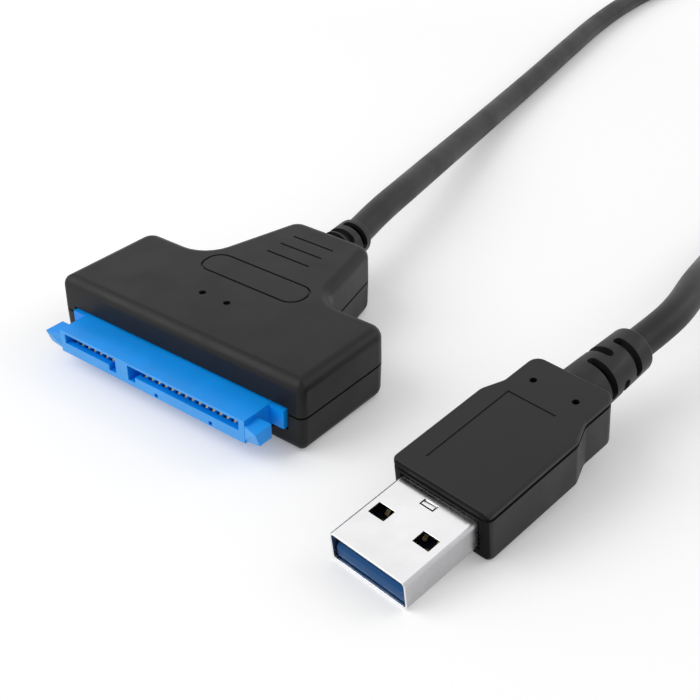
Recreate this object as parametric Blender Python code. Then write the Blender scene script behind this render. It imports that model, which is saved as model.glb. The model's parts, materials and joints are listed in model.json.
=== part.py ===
# USB to SATA adapter: a T-shaped two-shell housing with a blue 22-contact drive connector in
# front, a cable from the stem at the back, and a USB plug on the cable's end.
# Metres, +Z up. The housing stands on z = 0, the connector faces -Y, the cable leaves at +Y.
# The origin is under the centre of the housing with its connector and strain relief.
import math

import bmesh
import bpy
from mathutils import Matrix, Vector

smooth_angle = 32.0  # degrees, edges sharper than this stay crisp

# Clearances
fit_gap = 0.0003  # between pieces that meet
solder_gap = 0.0002  # between the board and what is soldered on it
ground_gap = 0.00005  # under what lies on the surface
overshoot = 0.001  # how far a cutter runs past the wall that it cuts

# Housing
housing_width = 0.0460  # over the wide part
housing_height = 0.0111
wide_depth = 0.0184  # front face to the back of the wide part
stem_length = 0.0168  # back of the wide part to the end of the stem
stem_root_width = 0.0230
stem_tip_width = 0.0148
parting_height = 0.0056  # the line where the two shells meet
wall = 0.0013
top_fillet = 0.0017
bottom_fillet = 0.0016
front_corner = 0.0012
back_corner = 0.0024
shoulder_corner = 0.0046  # the hollow corner between the wide part and the stem
stem_corner = 0.0026
draft_angle = 1.0  # degrees, each shell, away from the parting line
lip_height = 0.0009
lip_inset = 0.0008  # outside of the housing to the outside of the lip

# Engraved lines and light holes on the top
line_width = 0.00034
line_depth = 0.00025
stem_lines = ((0.0300, 0.0039), (0.0271, 0.0040), (0.0241, 0.0041))  # from the front, half length
frame_width = 0.0192
frame_depth = 0.0054
frame_centre = 0.0168  # behind the front face
frame_corner = 0.0024
light_hole_size = 0.0011
light_hole_places = ((-0.0030, 0.0091), (0.0017, 0.0091))  # across, behind the front face

# Drive connector
connector_width = 0.0354
connector_bottom = 0.00275  # above the surface that the housing stands on
connector_height = 0.00355
connector_proud = 0.00526  # mating face to the housing's front face
collar_depth = 0.0022  # the wider rear part inside the housing
collar_margin = 0.0008  # its ends to the side walls
flange_margin = 0.0007  # the collar's ends to the flange's
flange_height = 0.0029
flange_proud = 0.0005
flange_step = 0.00005  # its top below the connector's
slot_top = 0.0059
slot_height = 0.00149
slot_depth = 0.0068
key_width = 0.0014
key_drop = 0.00089
signal_width = 0.01041
power_width = 0.02057
slot_spacing = 0.00241
contact_pitch = 0.00127
signal_count = 7
power_count = 15
contact_width = 0.0005
contact_thickness = 0.0002
contact_gap = 0.0002  # between a contact and its channel
contact_rise = 0.0006  # of the spring crest above its straight run
contact_recess = 0.0013  # its tip behind the mating face
channel_recess = 0.0009  # the front of its channel behind the mating face
contact_ramp = 0.0005  # each slope of the crest, along the contact
contact_tail = 0.0028  # behind the connector
ear_width = 0.0024
ear_height = 0.0026
ear_length = 0.0025
ear_reach = 0.0006  # lead-in, in front of the mating face
ear_lift = 0.0002  # its faces inside the connector's underside and mating face
ear_root = 0.0006  # inside the connector
ear_chamfer = 0.0004  # rise of its underside towards the outside
pilot_size = 0.0006
pilot_depth = 0.0012
pilot_places = (0.0015, 0.0116)

# Circuit board and what it carries
board_thickness = 0.0010
board_width = 0.0380
board_depth = 0.0120
board_tongue_width = 0.0126
board_tongue_length = 0.0086
board_corner = 0.0006
chamfer = 0.0001
support_size = 0.0016
press_size = 0.0014
chip_size = 0.0068
chip_height = 0.0009
chip_overhang = 0.0017  # of its middle from the wide part's back edge
crystal_size = (0.0032, 0.0025, 0.0009)
crystal_place = (-0.0082, -0.0022)  # across, from the board's back edge
inductor_size = (0.0040, 0.0040, 0.0018)
inductor_place = (0.0125, -0.0056)
regulator_size = (0.0029, 0.0016, 0.0011)
regulator_place = (0.0087, -0.0052)
capacitor_size = (0.0020, 0.0012, 0.0010)
capacitor_places = ((-0.0135, -0.0060), (-0.0110, -0.0060), (0.0065, -0.0082))
light_size = 0.0010
wire_diameter = 0.0007
wire_count = 8
wire_pitch = 0.0013
wire_pad = 0.0016  # from the board's end to the soldered ends
wire_drop = 0.0002  # of the upper row below the cable's axis
wire_bends = 6  # straight pieces from the strain relief down to the board

# Cable and its strain relief
cable_diameter = 0.0046
cable_height = 0.0076  # of its axis, where it leaves the stem
relief_length = 0.0060
relief_bend = 13.0  # degrees, towards -X
relief_radius = 0.0031
relief_end_radius = 0.0030
relief_neck = 0.0026
relief_plate_width = 0.0094
relief_plate_height = 0.0060
relief_plate_thickness = 0.0014
relief_core = 0.0024
relief_slot = 0.0013
relief_slot_starts = (0.0004, 0.0030)
relief_edge = 0.00015  # easing of the slots' and the end's edges
bridge_limit = 0.86  # sine of the angle from a slot's middle to its bridges
ring_sides = 24
relief_slot_turns = (90.0, 50.0)  # degrees from +X, the middle of each slot's upper opening
cable_lead = 0.0090  # straight stretch out of each strain relief
cable_point_spacing = 2.4  # in cable diameters
path_steps = 40  # points read between two of the route's points

# USB plug, in its own frame: length from the shell's tip, height from the shell's underside
plug_shell_width = 0.0120
plug_shell_height = 0.0045
plug_shell_exposed = 0.0120
plug_shell_seat = 0.0050  # inside the moulding
plug_sheet = 0.0003
plug_shell_corner = 0.0007
window_width = 0.0025
window_length = 0.00195
window_offset = 0.00225  # from the middle to a window's inner edge
window_behind = 0.00516  # from the tip to a window's front edge
tab_width = 0.0021
tab_length = 0.0010
tab_behind = 0.0099
tab_slit = 0.00018
tongue_thickness = 0.0019
tongue_recess = 0.0004
tongue_lead = 0.0004  # chamfer at its tip
tongue_block = 0.0078  # length of the full-height block at the back
plug_body_width = 0.0152
plug_body_height = 0.0080
plug_body_length = 0.0260
plug_full_width_length = 0.0165
plug_tail_width = 0.0126
plug_shoulder_length = 0.0032
plug_corner = 0.0010
plug_bend_corner = 0.0020  # where the shoulders begin and end
plug_tail_corner = 0.0016
plug_fillet = 0.0009  # round the underside
plug_rim_fillet = 0.0004  # round the top
plug_groove_drop = 0.0008  # from the top to the groove along the sides
plug_groove = 0.0005
plug_groove_depth = 0.0004
plug_relief_length = 0.0128
plug_relief_root = 0.0038
plug_relief_end = 0.0033
plug_slot_starts = (0.0031, 0.0059, 0.0087)
plug_slot_turns = (45.0, 130.0, 45.0)
plug_pin_hole = 0.0010
plug_pin_spread = 0.0033
plug_pin_behind = 0.0020  # the shoulders
plug_line_left = -0.0045
plug_line_behind = 0.0029  # the moulding's front
plug_line_length = 0.0153
plug_line_across = 0.0075
plug_line_width = 0.00026
plug_line_depth = 0.00013
plug_x = 0.0438
plug_y = -0.0312
plug_turn = 7.6  # degrees, its cable end towards +X
front_pin_behind = 0.0010  # the tongue's tip
front_pin_width = 0.0010
front_pin_length = 0.0052
front_pin_places = (-0.0035, -0.0010, 0.0010, 0.0035)
rear_pin_width = 0.0006
rear_pin_length = 0.0018
rear_pin_places = (-0.0040, -0.0020, 0.0, 0.0020, 0.0040)

# Route of the cable's axis between the two strain reliefs, laid in one loose turn
cable_route = (
    (-0.0053, 0.0442, 0.0071), (-0.0094, 0.0605, 0.0056), (-0.0141, 0.0790, 0.0038),
    (-0.0184, 0.0985, 0.0027), (-0.0222, 0.1190, 0.0024), (-0.0260, 0.1400, 0.0024),
    (-0.0293, 0.1600, 0.0024), (-0.0311, 0.1790, 0.0024), (-0.0309, 0.1965, 0.0024),
    (-0.0272, 0.2130, 0.0024), (-0.0170, 0.2270, 0.0024), (0.0000, 0.2355, 0.0024),
    (0.0190, 0.2350, 0.0024), (0.0360, 0.2265, 0.0024), (0.0482, 0.2120, 0.0024),
    (0.0535, 0.1930, 0.0024), (0.0542, 0.1700, 0.0024), (0.0525, 0.1450, 0.0024),
    (0.0495, 0.1190, 0.0024), (0.0463, 0.0940, 0.0024), (0.0448, 0.0780, 0.0027),
    (0.0458, 0.0627, 0.0044), (0.0481, 0.0498, 0.0074), (0.0502, 0.0388, 0.0099),
)

# Places that follow from the sizes above
bend = math.radians(relief_bend)
relief_run = relief_length * math.sin(bend) / bend
relief_drift = relief_length * (1 - math.cos(bend)) / bend
reach_front = connector_proud + ear_reach
reach_back = wide_depth + stem_length + relief_run + relief_radius * math.sin(bend)
front_y = reach_front - (reach_front + reach_back) / 2  # housing's front face
mating_y = front_y - connector_proud
wide_y = front_y + wide_depth
stem_y = wide_y + stem_length
inner_front_y = front_y + wall
collar_y = inner_front_y + fit_gap
collar_width = housing_width - 2 * (wall + collar_margin)
flange_width = collar_width - 2 * flange_margin
connector_back = collar_y + collar_depth
connector_top = connector_bottom + connector_height
slot_floor = slot_top - slot_height
channel_floor = slot_floor - contact_thickness - 3 * contact_gap
contact_level = channel_floor + contact_gap
board_top = contact_level - solder_gap
board_front = connector_back + fit_gap
board_back = board_front + board_depth
part_level = board_top + solder_gap
slot_left = -(signal_width + slot_spacing + power_width) / 2
power_left = slot_left + signal_width + slot_spacing
roof = housing_height - wall
plate_bottom = roof - fit_gap - relief_plate_height
plate_back = stem_y - wall - fit_gap
plate_front = plate_back - relief_plate_thickness


def material(name, colour, roughness, metallic=0.0):
    made = bpy.data.materials.new(name)
    made.use_nodes = True
    shader = made.node_tree.nodes['Principled BSDF']
    shader.inputs['Base Color'].default_value = (*colour, 1.0)
    shader.inputs['Roughness'].default_value = roughness
    shader.inputs['Metallic'].default_value = metallic
    made.diffuse_color = (*colour, 1.0)
    return made


def place(name, mesh, finish):
    """Puts a finished bmesh into the scene as a named object."""
    bmesh.ops.recalc_face_normals(mesh, faces=mesh.faces)
    data = bpy.data.meshes.new(name)
    mesh.to_mesh(data)
    mesh.free()
    piece = bpy.data.objects.new(name, data)
    bpy.context.scene.collection.objects.link(piece)
    if finish:
        data.materials.append(finish)
    return piece


def rounded(corners, inset=0.0, steps=6):
    """Closed outline through (x, y, radius) corners, counter-clockwise, moved inwards by inset."""
    count = len(corners)
    points = [Vector(corner[:2]) for corner in corners]
    ways = [(points[(i + 1) % count] - points[i]).normalized() for i in range(count)]
    outline = []
    for i in range(count):
        before = ways[i - 1]
        after = ways[i]
        turn = before.cross(after)
        side = 1 if turn > 0 else -1
        angle = abs(before.angle(after))
        corner = points[i] + inset * (Vector((-before.y, before.x)) + Vector((-after.y, after.x))) / (
            1 + before.dot(after))
        radius = max(corners[i][2] - side * inset, 0.0001)
        start = corner - before * radius * math.tan(angle / 2)
        centre = start + side * radius * Vector((-before.y, before.x))
        for k in range(steps + 1):
            outline.append(centre + Matrix.Rotation(side * angle * k / steps, 2) @ (start - centre))
    return outline


def rectangle(width, depth, radius, centre=(0.0, 0.0)):
    x, y = centre
    across = width / 2
    along = depth / 2
    return [(x - across, y - along, radius), (x + across, y - along, radius),
            (x + across, y + along, radius), (x - across, y + along, radius)]


def loft(mesh, loops, closed=False):
    """Joins loops of equal length into one skin, capped at both ends or closed on itself."""
    rings = [[mesh.verts.new(point) for point in loop] for loop in loops]
    pairs = list(zip(rings, rings[1:]))
    if closed:
        pairs.append((rings[-1], rings[0]))
    else:
        mesh.faces.new(rings[0])
        mesh.faces.new(rings[-1])
    size = len(rings[0])
    for lower, upper in pairs:
        for i in range(size):
            j = (i + 1) % size
            mesh.faces.new((lower[i], lower[j], upper[j], upper[i]))


def prism(corners, levels, steps=6):
    """Solid of one outline lofted through (inset, height) levels."""
    mesh = bmesh.new()
    loft(mesh, [[(p.x, p.y, z) for p in rounded(corners, inset, steps)] for inset, z in levels])
    return mesh


def block(low, high):
    mesh = bmesh.new()
    bmesh.ops.create_cube(mesh, size=1)
    size = [high[i] - low[i] for i in range(3)]
    middle = [(high[i] + low[i]) / 2 for i in range(3)]
    bmesh.ops.scale(mesh, vec=size, verts=mesh.verts)
    bmesh.ops.translate(mesh, vec=middle, verts=mesh.verts)
    return mesh


def rod(start, end, radius, sides=20):
    """Cylinder between two points."""
    start = Vector(start)
    end = Vector(end)
    mesh = bmesh.new()
    bmesh.ops.create_cone(mesh, cap_ends=True, segments=sides, radius1=radius, radius2=radius,
                          depth=(end - start).length)
    turn = Vector((0, 0, 1)).rotation_difference(end - start).to_matrix().to_4x4()
    bmesh.ops.transform(mesh, matrix=Matrix.Translation((start + end) / 2) @ turn, verts=mesh.verts)
    return mesh


def combine(piece, mesh, operation):
    """Cuts a bmesh out of a piece, or joins it on, and leaves no helper behind."""
    tool = place('tool', mesh, None)
    step = piece.modifiers.new('step', 'BOOLEAN')
    step.operation = operation
    step.solver = 'EXACT'
    step.object = tool
    bpy.context.view_layer.objects.active = piece
    bpy.ops.object.modifier_apply(modifier=step.name)
    bpy.data.objects.remove(tool)


def cut(piece, mesh):
    combine(piece, mesh, 'DIFFERENCE')


def join(piece, mesh):
    combine(piece, mesh, 'UNION')


def ring_band(corners, width, low, high, steps=6):
    """Closed band that follows an outline, for an engraved line."""
    outer = rounded(corners, 0.0, steps)
    inner = rounded(corners, width, steps)
    mesh = bmesh.new()
    loft(mesh, [[(p.x, p.y, low) for p in outer], [(p.x, p.y, high) for p in outer],
                [(p.x, p.y, high) for p in inner], [(p.x, p.y, low) for p in inner]], closed=True)
    return mesh


def housing_outline():
    half = housing_width / 2
    root = stem_root_width / 2
    tip = stem_tip_width / 2
    right = [(half, front_y, front_corner), (half, wide_y, back_corner),
             (root, wide_y, shoulder_corner), (tip, stem_y, stem_corner)]
    left = [(-x, y, r) for x, y, r in reversed(right)]
    return right + left


def draft(z):
    return abs(z - parting_height) * math.tan(math.radians(draft_angle))


def quarter_round(edge, radius, upwards, steps):
    """(inset, height) levels of a rounded edge, from the flat face to the wall."""
    levels = []
    for k in range(steps + 1):
        angle = math.pi / 2 * k / steps
        levels.append((radius * (1 - math.sin(angle)), edge + upwards * radius * (1 - math.cos(angle))))
    return levels


def fillet_levels(edge, radius, upwards, steps=6):
    """The same for the housing, whose walls are drafted."""
    return [(inset + draft(z), z) for inset, z in quarter_round(edge, radius, upwards, steps)]


def connector_window(width, bottom, top=connector_top + fit_gap):
    """Opening in the front wall, a fit round a part of the connector."""
    half = width / 2 + fit_gap
    return block((-half, front_y - overshoot, bottom - fit_gap), (half, inner_front_y + overshoot / 2, top))


def relief_hole(radius, bottom):
    """Cutter for the cable's way out of the stem: a round top on a straight throat."""
    near = stem_y - 2 * wall - overshoot
    far = stem_y + overshoot
    mesh = rod((0, near, cable_height), (0, far, cable_height), radius, 32)
    hole = place('hole', mesh, None)
    join(hole, block((-radius, near, bottom), (radius, far, cable_height)))
    cutter = bmesh.new()
    cutter.from_mesh(hole.data)
    bpy.data.objects.remove(hole)
    return cutter


def lower_shell(finish):
    rim = parting_height - fit_gap / 2
    crest = parting_height + lip_height
    levels = fillet_levels(0.0, bottom_fillet, 1)
    levels += [(0.0, rim), (lip_inset, rim), (lip_inset, crest), (wall, crest), (wall, wall)]
    shell = place('housing_lower_shell', prism(housing_outline(), levels), finish)
    cut(shell, connector_window(flange_width, connector_top - flange_height, crest + overshoot))
    cut(shell, connector_window(connector_width, connector_bottom))
    saddle = relief_neck - fit_gap
    join(shell, block((-saddle, stem_y - wall, parting_height - 2 * wall),
                      (saddle, stem_y - draft(0) - 0.5 * fit_gap, cable_height)))
    cut(shell, rod((0, stem_y - 2 * wall - overshoot, cable_height), (0, stem_y + overshoot, cable_height),
                   relief_neck + fit_gap, 32))
    plate = relief_plate_width / 2 + fit_gap
    cut(shell, block((-plate, plate_front - fit_gap, plate_bottom - fit_gap),
                     (plate, plate_back + fit_gap / 2, crest + overshoot)))
    top = board_top - board_thickness - fit_gap
    x = board_width / 2 - support_size
    for side in (-1, 1):
        for y in (board_front + support_size, board_back - support_size):
            join(shell, rod((side * x, y, wall / 2), (side * x, y, top), support_size / 2, 12))
    y = board_back + board_tongue_length - support_size
    join(shell, rod((0, y, wall / 2), (0, y, top), support_size / 2, 12))
    return shell


def engrave(shell):
    """Plain lines on the top: three across the stem and a rounded frame on the wide part."""
    low = housing_height - line_depth
    high = housing_height + overshoot
    for y, half in stem_lines:
        cut(shell, prism(rectangle(2 * half, line_width, line_width / 2.2, (0, front_y + y)),
                         [(0, low), (0, high)], 3))
    frame = rectangle(frame_width, frame_depth, frame_corner, (0, front_y + frame_centre))
    cut(shell, ring_band(frame, line_width, low, high, 5))
    for x, y in light_hole_places:
        cut(shell, rod((x, front_y + y, roof - overshoot), (x, front_y + y, high), light_hole_size / 2, 16))


def upper_shell(finish):
    rim = parting_height + fit_gap / 2
    rebate = parting_height + lip_height + fit_gap
    skin = lip_inset - fit_gap
    levels = [(wall, roof), (wall, rebate), (skin, rebate), (skin, rim), (0.0, rim)]
    levels += list(reversed(fillet_levels(housing_height, top_fillet, -1)))
    shell = place('housing_upper_shell', prism(housing_outline(), levels), finish)
    cut(shell, connector_window(flange_width, connector_top - flange_height))
    cut(shell, relief_hole(relief_neck + fit_gap, parting_height - overshoot))
    engrave(shell)
    x = board_width / 2 - support_size
    for side in (-1, 1):
        for y in (board_front + 2 * support_size, board_back - support_size):
            join(shell, rod((side * x, y, part_level), (side * x, y, roof + wall / 2), press_size / 2, 12))
    return shell


def ear(side):
    """Guide beside the slots, whose upper outer corner runs forward as a lead-in."""
    root = connector_width / 2 - ear_root
    outside = connector_width / 2 + ear_width
    front = mating_y + ear_lift
    back = mating_y + ear_length
    low = connector_bottom + ear_lift
    high = low + ear_height
    tip = mating_y - ear_reach
    inner = [(front, low), (back, low), (back, high), (front, high)]
    outer = [(front, low + ear_chamfer), (back, low + ear_chamfer), (back, high), (tip, high)]
    mesh = bmesh.new()
    loft(mesh, [[(side * root, y, z) for y, z in inner], [(side * outside, y, z) for y, z in outer]])
    bmesh.ops.triangulate(mesh, faces=mesh.faces, quad_method='LONG_EDGE')
    return mesh


def slot_cutter(left, width, key_on_right):
    """L-shaped blind slot: a thin mouth with a deeper key at one end."""
    right = left + width
    thin = slot_top - slot_height
    deep = thin - key_drop
    if key_on_right:
        outline = [(left, thin), (right - key_width, thin), (right - key_width, deep), (right, deep),
                   (right, slot_top), (left, slot_top)]
    else:
        outline = [(left, deep), (left + key_width, deep), (left + key_width, thin), (right, thin),
                   (right, slot_top), (left, slot_top)]
    mesh = bmesh.new()
    loft(mesh, [[(x, y, z) for x, z in outline] for y in (mating_y - overshoot, mating_y + slot_depth)])
    return mesh


def contact_places():
    """Centres of the signal and the power contacts, in the middle of each thin slot."""
    signal_middle = slot_left + (signal_width - key_width) / 2
    power_middle = power_left + (power_width + key_width) / 2
    signal = [signal_middle + (i - (signal_count - 1) / 2) * contact_pitch for i in range(signal_count)]
    power = [power_middle + (i - (power_count - 1) / 2) * contact_pitch for i in range(power_count)]
    return signal, power


def drive_connector(finish):
    half = connector_width / 2
    flange = flange_width / 2
    collar = collar_width / 2
    body = place('sata_connector_body', block((-half, mating_y, connector_bottom),
                                              (half, collar_y + collar_depth / 2, connector_top)), finish)
    join(body, block((-flange, front_y - flange_proud, connector_top - flange_height),
                     (flange, collar_y + collar_depth / 2, connector_top - flange_step)))
    join(body, block((-collar, collar_y, connector_bottom - fit_gap),
                     (collar, connector_back, connector_top + 2 * fit_gap)))
    for side in (-1, 1):
        join(body, ear(side))
    cut(body, slot_cutter(slot_left, signal_width, True))
    cut(body, slot_cutter(power_left, power_width, False))
    signal, power = contact_places()
    channel = contact_width / 2 + contact_gap
    for x in signal + power:
        cut(body, block((x - channel, mating_y + channel_recess, channel_floor),
                        (x + channel, connector_back + overshoot, slot_floor + contact_gap)))
    for x in pilot_places:
        z = (connector_bottom + channel_floor) / 2
        cut(body, block((x - pilot_size / 2, mating_y - overshoot, z - pilot_size / 2),
                        (x + pilot_size / 2, mating_y + pilot_depth, z + pilot_size / 2)))
    return body


def strip(mesh, path, width, thickness):
    """Flat strip that follows (y, z) points, its underside on them."""
    loft(mesh, [[(-width / 2, y, z), (width / 2, y, z), (width / 2, y, z + thickness),
                 (-width / 2, y, z + thickness)] for y, z in path])


def spring_contact(name, x, finish):
    """Stamped contact: tail on the board, straight run in its channel, crest in the slot."""
    crest = contact_level + contact_rise
    tip = mating_y + contact_recess
    path = [(tip, contact_level), (tip + contact_ramp, crest - contact_gap / 2),
            (tip + 2 * contact_ramp, crest), (tip + 3 * contact_ramp, crest - contact_gap / 2),
            (tip + 5 * contact_ramp, contact_level),
            (connector_back + contact_tail, contact_level)]
    mesh = bmesh.new()
    strip(mesh, path, contact_width, contact_thickness)
    bmesh.ops.translate(mesh, vec=(x, 0, 0), verts=mesh.verts)
    return place(name, mesh, finish)


def circuit_board(finish):
    """T-shaped board: the wide part behind the connector and a tongue into the stem."""
    half = board_width / 2
    tongue = board_tongue_width / 2
    end = board_back + board_tongue_length
    right = [(half, board_front, board_corner), (half, board_back, board_corner),
             (tongue, board_back, board_corner), (tongue, end, board_corner)]
    left = [(-x, y, r) for x, y, r in reversed(right)]
    levels = [(0, board_top - board_thickness), (0, board_top)]
    return place('circuit_board', prism(right + left, levels, 2), finish)


def standing_block(spot, size):
    """Plain block on the board, its place taken from the board's back edge."""
    x, y = spot
    width, depth, height = size
    return block((x - width / 2, board_back + y - depth / 2, part_level),
                 (x + width / 2, board_back + y + depth / 2, part_level + height))


def board_parts(dark, metal, ceramic, clear):
    """Parts that stand on the board's top."""
    top = part_level + chip_height
    chip = prism(rectangle(chip_size, chip_size, board_corner / 2, (0, board_back - chip_overhang)),
                 [(0, part_level), (0, top - chamfer), (chamfer, top)], 2)
    place('bridge_chip', chip, dark)
    width, depth, height = crystal_size
    x, y = crystal_place
    crystal = prism(rectangle(width, depth, board_corner, (x, board_back + y)),
                    [(0, part_level), (0, part_level + chamfer), (3 * chamfer, part_level + chamfer),
                     (3 * chamfer, part_level + height)], 3)
    place('crystal', crystal, metal)
    width, depth, height = inductor_size
    x, y = inductor_place
    coil = prism(rectangle(width, depth, 2 * board_corner, (x, board_back + y)),
                 [(0, part_level), (0, part_level + height - chamfer), (chamfer, part_level + height)], 3)
    place('power_inductor', coil, dark)
    place('voltage_regulator', standing_block(regulator_place, regulator_size), dark)
    for i, spot in enumerate(capacitor_places):
        place(f'capacitor_{i + 1}', standing_block(spot, capacitor_size), ceramic)
    for name, (x, y) in zip(('power_light', 'activity_light'), light_hole_places):
        lens = prism(rectangle(1.6 * light_size, light_size, light_size / 5, (x, front_y + y)),
                     [(0, part_level), (0, part_level + 0.5 * light_size),
                      (light_size / 6, part_level + 0.7 * light_size)], 2)
        place(name, lens, clear)


def round_ring(radius, s):
    """Points of a circle across the Y axis, from +X towards +Z."""
    angles = [2 * math.pi * k / ring_sides for k in range(ring_sides)]
    return [(radius * math.cos(angle), s, radius * math.sin(angle)) for angle in angles]


def slotted_rings(length, start_radius, end_radius, starts, turns):
    """Rings of a strain relief along +Y, with two bridges across each of its slots."""
    def outside(s):
        return start_radius + (end_radius - start_radius) * s / length

    def ring(s, gap_turn):
        points = []
        for k in range(ring_sides):
            angle = 2 * math.pi * k / ring_sides
            bridged = abs(math.sin(angle - gap_turn)) > bridge_limit
            radius = outside(s) if bridged else relief_core
            points.append((radius * math.cos(angle), s, radius * math.sin(angle)))
        return points

    def plain(s, shrink=0.0):
        return round_ring(outside(s) - shrink, s)

    rings = [plain(0.0)]
    for s, degrees in zip(starts, turns):
        turn = math.radians(degrees)
        rings += [plain(s), ring(s + relief_edge, turn), ring(s + relief_slot - relief_edge, turn),
                  plain(s + relief_slot)]
    rings += [plain(length - 3 * relief_edge), plain(length - relief_edge, relief_edge)]
    rings.append(plain(length, 3 * relief_edge))
    return rings


def bent(point, base, angle, length):
    """Carries a point of a straight form along +Y onto an arc that turns towards -X."""
    x, s, z = point
    if s <= 0:
        return (x, base + s, z)
    turn = angle * s / length
    radius = length / angle
    return (-radius * (1 - math.cos(turn)) + x * math.cos(turn), base + radius * math.sin(turn)
            + x * math.sin(turn), z)


def cable_relief(finish):
    """Strain relief of the housing: a plate behind the stem's wall, a neck and bent rings."""
    collar = fit_gap
    rings = slotted_rings(relief_length - collar, relief_radius, relief_end_radius, relief_slot_starts,
                          relief_slot_turns)
    rings = [[(x, s + collar, z) for x, s, z in ring] for ring in rings]
    inside = wall + relief_plate_thickness / 2 + fit_gap
    neck = [round_ring(relief_neck, s) for s in (-inside, collar)]
    mesh = bmesh.new()
    loft(mesh, [[bent(p, stem_y, bend, relief_length) for p in ring] for ring in neck + rings])
    bmesh.ops.translate(mesh, vec=(0, 0, cable_height), verts=mesh.verts)
    relief = place('cable_strain_relief', mesh, finish)
    join(relief, block((-relief_plate_width / 2, plate_front, plate_bottom),
                       (relief_plate_width / 2, plate_back, plate_bottom + relief_plate_height)))
    return relief


def tube(name, points, radius, finish, detail):
    """Round tube through points, as a curve with filled caps."""
    line = bpy.data.curves.new(name, 'CURVE')
    line.dimensions = '3D'
    line.bevel_depth = radius
    line.bevel_resolution = detail
    line.use_fill_caps = True
    spline = line.splines.new('POLY')
    spline.points.add(len(points) - 1)
    for target, point in zip(spline.points, points):
        target.co = (*point, 1.0)
    spline.use_smooth = True
    line.materials.append(finish)
    piece = bpy.data.objects.new(name, line)
    bpy.context.scene.collection.objects.link(piece)
    return piece


def smooth_path(route, step):
    """Points read evenly from one smooth curve through the route's points."""
    fine = []
    for i in range(len(route) - 1):
        before = route[max(i - 1, 0)]
        after = route[min(i + 2, len(route) - 1)]
        start, end = route[i], route[i + 1]
        for k in range(path_steps):
            t = k / path_steps
            fine.append(0.5 * (2 * start + (end - before) * t
                               + (2 * before - 5 * start + 4 * end - after) * t * t
                               + (3 * start - before - 3 * end + after) * t ** 3))
    fine.append(route[-1])
    lengths = [0.0]
    for a, b in zip(fine, fine[1:]):
        lengths.append(lengths[-1] + (b - a).length)
    count = round(lengths[-1] / step)
    points = []
    index = 0
    for n in range(count + 1):
        wanted = lengths[-1] * n / count
        while index < len(fine) - 2 and lengths[index + 1] < wanted:
            index += 1
        share = (wanted - lengths[index]) / (lengths[index + 1] - lengths[index])
        points.append(fine[index].lerp(fine[index + 1], min(share, 1.0)))
    return points


def plug_tilt():
    """Angle at which the moulding's front edge and the shell's tip both touch the surface."""
    rise = (plug_body_height - plug_shell_height) / 2
    along = plug_shell_exposed + plug_fillet
    down = rise - plug_fillet
    return math.atan2(down, along) + math.asin(plug_fillet / math.hypot(along, down))


def plug_place():
    turn = Matrix.Rotation(math.radians(-plug_turn), 4, 'Z')
    return Matrix.Translation((plug_x, plug_y, ground_gap)) @ turn @ Matrix.Rotation(plug_tilt(), 4, 'X')


def plug_corners(half, start, length):
    """Plan of the moulding: wide where the shell enters, narrower behind its shoulders."""
    tail = plug_tail_width / 2
    shoulder = start + plug_full_width_length
    right = [(half, start, plug_corner), (half, shoulder, plug_bend_corner),
             (tail, shoulder + plug_shoulder_length, plug_bend_corner),
             (tail, start + length, plug_tail_corner)]
    return right + [(-x, y, r) for x, y, r in reversed(right)]


def plug_moulding(finish):
    middle = plug_shell_height / 2
    low = middle - plug_body_height / 2
    high = middle + plug_body_height / 2
    corners = plug_corners(plug_body_width / 2, plug_shell_exposed, plug_body_length)
    groove = high - plug_groove_drop
    levels = quarter_round(low, plug_fillet, 1, 4)
    levels += [(0.0, groove - plug_groove), (plug_groove_depth, groove - plug_groove),
               (plug_groove_depth, groove), (0.0, groove)]
    levels += list(reversed(quarter_round(high, plug_rim_fillet, -1, 3)))
    body = place('plug_moulding', prism(corners, levels, 5), finish)
    tail = plug_shell_exposed + plug_body_length
    rings = slotted_rings(plug_relief_length, plug_relief_root, plug_relief_end, plug_slot_starts,
                          plug_slot_turns)
    rings.insert(0, [(x, -2 * plug_fillet, z) for x, s, z in rings[0]])
    mesh = bmesh.new()
    loft(mesh, [[(x, tail + s, middle + z) for x, s, z in ring] for ring in rings])
    join(body, mesh)
    side = plug_shell_width / 2 + fit_gap / 2
    up = plug_shell_height + fit_gap / 2
    cut(body, block((-side, plug_shell_exposed - overshoot, -fit_gap / 2),
                    (side, plug_shell_exposed + plug_shell_seat + fit_gap, up)))
    for x in (-plug_pin_spread, plug_pin_spread):
        y = plug_shell_exposed + plug_full_width_length + plug_shoulder_length + plug_pin_behind
        cut(body, rod((x, y, high - plug_pin_hole), (x, y, high + overshoot), plug_pin_hole / 2, 12))
    mark_plug(body, high)
    return body


def mark_plug(body, high):
    """Thin engraved corner line on the moulding's top."""
    low = high - plug_line_depth
    left = plug_line_left
    near = plug_shell_exposed + plug_line_behind
    far = near + plug_line_length
    cut(body, block((left, near, low), (left + plug_line_width, far, high + overshoot)))
    cut(body, block((left, far - plug_line_width, low), (left + plug_line_across, far, high + overshoot)))


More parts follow.
